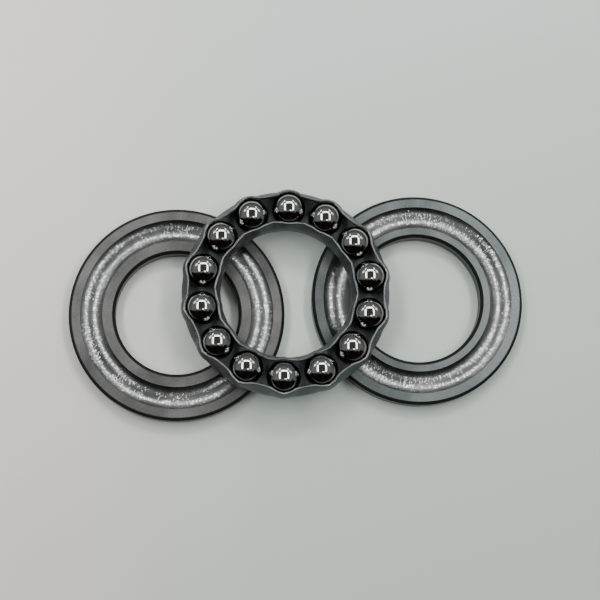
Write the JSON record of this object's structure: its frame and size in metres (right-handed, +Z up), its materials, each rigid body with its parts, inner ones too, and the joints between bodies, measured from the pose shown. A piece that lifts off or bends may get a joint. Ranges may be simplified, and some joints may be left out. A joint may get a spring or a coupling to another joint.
{
  "type": "thrust ball bearing",
  "caption": "Single-direction thrust ball bearing taken apart and laid flat: two grooved steel washers and, across them, a crimped steel cage full of balls that carries axial load.",
  "frame": {"origin": "bottom centre of the box round the laid-out parts, on the surface that both washers lie on", "axes": "+Z up along the axes of the washers and the cage, +X from the shaft washer towards the housing washer, +Y away from the viewer"},
  "size_m": [0.0746, 0.0374, 0.0086],
  "materials": {
    "washer_steel": "through-hardened bearing steel, ground flat on the lands and polished in the raceway",
    "cage_steel": "pressed low-carbon sheet, dark oiled semi-matt with bright worn rims",
    "ball_steel": "mirror-lapped chrome bearing steel"
  },
  "bodies": {
    "housing_washer": {"housing_washer": "washer_steel"},
    "shaft_washer": {"shaft_washer": "washer_steel"},
    "cage": {"ball_cage": "cage_steel"},
    "ball_01": {"ball_01": "ball_steel"},
    "ball_02": {"ball_02": "ball_steel"},
    "ball_03": {"ball_03": "ball_steel"},
    "ball_04": {"ball_04": "ball_steel"},
    "ball_05": {"ball_05": "ball_steel"},
    "ball_06": {"ball_06": "ball_steel"},
    "ball_07": {"ball_07": "ball_steel"},
    "ball_08": {"ball_08": "ball_steel"},
    "ball_09": {"ball_09": "ball_steel"},
    "ball_10": {"ball_10": "ball_steel"},
    "ball_11": {"ball_11": "ball_steel"},
    "ball_12": {"ball_12": "ball_steel"},
    "ball_13": {"ball_13": "ball_steel"},
    "ball_14": {"ball_14": "ball_steel"}
  },
  "joints": [
    {"name": "shaft_washer_spin", "type": "hinge", "parent": "housing_washer", "child": "shaft_washer", "pos_m": [-0.01977, -0.00124, 0], "axis": [0, 0, 1], "continuous": true},
    {"name": "cage_spin", "type": "hinge", "parent": "housing_washer", "child": "cage", "pos_m": [-0.00218, 0.00156, 0.00587], "axis": [0, 0, 1], "continuous": true},
    {"name": "ball_01_roll", "type": "hinge", "parent": "cage", "child": "ball_01", "pos_m": [-0.00161, 0.0154, 0.00587], "axis": [0.041, 0.9992, 0], "continuous": true},
    {"name": "ball_02_roll", "type": "hinge", "parent": "cage", "child": "ball_02", "pos_m": [-0.00767, 0.01428, 0.00587], "axis": [-0.3966, 0.918, 0], "continuous": true},
    {"name": "ball_03_roll", "type": "hinge", "parent": "cage", "child": "ball_03", "pos_m": [-0.01265, 0.01063, 0.00587], "axis": [-0.7556, 0.655, 0], "continuous": true},
    {"name": "ball_04_roll", "type": "hinge", "parent": "cage", "child": "ball_04", "pos_m": [-0.01554, 0.00519, 0.00587], "axis": [-0.965, 0.2623, 0], "continuous": true},
    {"name": "ball_05_roll", "type": "hinge", "parent": "cage", "child": "ball_05", "pos_m": [-0.0158, -0.00096, 0.00587], "axis": [-0.9832, -0.1824, 0], "continuous": true},
    {"name": "ball_06_roll", "type": "hinge", "parent": "cage", "child": "ball_06", "pos_m": [-0.01335, -0.00662, 0.00587], "axis": [-0.8067, -0.5909, 0], "continuous": true},
    {"name": "ball_07_roll", "type": "hinge", "parent": "cage", "child": "ball_07", "pos_m": [-0.0087, -0.01066, 0.00587], "axis": [-0.4705, -0.8824, 0], "continuous": true},
    {"name": "ball_08_roll", "type": "hinge", "parent": "cage", "child": "ball_08", "pos_m": [-0.00275, -0.01228, 0.00587], "axis": [-0.041, -0.9992, 0], "continuous": true},
    {"name": "ball_09_roll", "type": "hinge", "parent": "cage", "child": "ball_09", "pos_m": [0.00331, -0.01115, 0.00587], "axis": [0.3966, -0.918, 0], "continuous": true},
    {"name": "ball_10_roll", "type": "hinge", "parent": "cage", "child": "ball_10", "pos_m": [0.00829, -0.00751, 0.00587], "axis": [0.7556, -0.655, 0], "continuous": true},
    {"name": "ball_11_roll", "type": "hinge", "parent": "cage", "child": "ball_11", "pos_m": [0.01119, -0.00207, 0.00587], "axis": [0.965, -0.2623, 0], "continuous": true},
    {"name": "ball_12_roll", "type": "hinge", "parent": "cage", "child": "ball_12", "pos_m": [0.01144, 0.00409, 0.00587], "axis": [0.9832, 0.1824, 0], "continuous": true},
    {"name": "ball_13_roll", "type": "hinge", "parent": "cage", "child": "ball_13", "pos_m": [0.00899, 0.00975, 0.00587], "axis": [0.8067, 0.5909, 0], "continuous": true},
    {"name": "ball_14_roll", "type": "hinge", "parent": "cage", "child": "ball_14", "pos_m": [0.00434, 0.01378, 0.00587], "axis": [0.4705, 0.8824, 0], "continuous": true}
  ],
  "couplings": [
    {"joint": "cage_spin", "follows": "shaft_washer_spin", "ratio": 0.5},
    {"joint": "ball_01_roll", "follows": "shaft_washer_spin", "ratio": -2.4928},
    {"joint": "ball_02_roll", "follows": "shaft_washer_spin", "ratio": -2.4928},
    {"joint": "ball_03_roll", "follows": "shaft_washer_spin", "ratio": -2.4928},
    {"joint": "ball_04_roll", "follows": "shaft_washer_spin", "ratio": -2.4928},
    {"joint": "ball_05_roll", "follows": "shaft_washer_spin", "ratio": -2.4928},
    {"joint": "ball_06_roll", "follows": "shaft_washer_spin", "ratio": -2.4928},
    {"joint": "ball_07_roll", "follows": "shaft_washer_spin", "ratio": -2.4928},
    {"joint": "ball_08_roll", "follows": "shaft_washer_spin", "ratio": -2.4928},
    {"joint": "ball_09_roll", "follows": "shaft_washer_spin", "ratio": -2.4928},
    {"joint": "ball_10_roll", "follows": "shaft_washer_spin", "ratio": -2.4928},
    {"joint": "ball_11_roll", "follows": "shaft_washer_spin", "ratio": -2.4928},
    {"joint": "ball_12_roll", "follows": "shaft_washer_spin", "ratio": -2.4928},
    {"joint": "ball_13_roll", "follows": "shaft_washer_spin", "ratio": -2.4928},
    {"joint": "ball_14_roll", "follows": "shaft_washer_spin", "ratio": -2.4928}
  ]
}
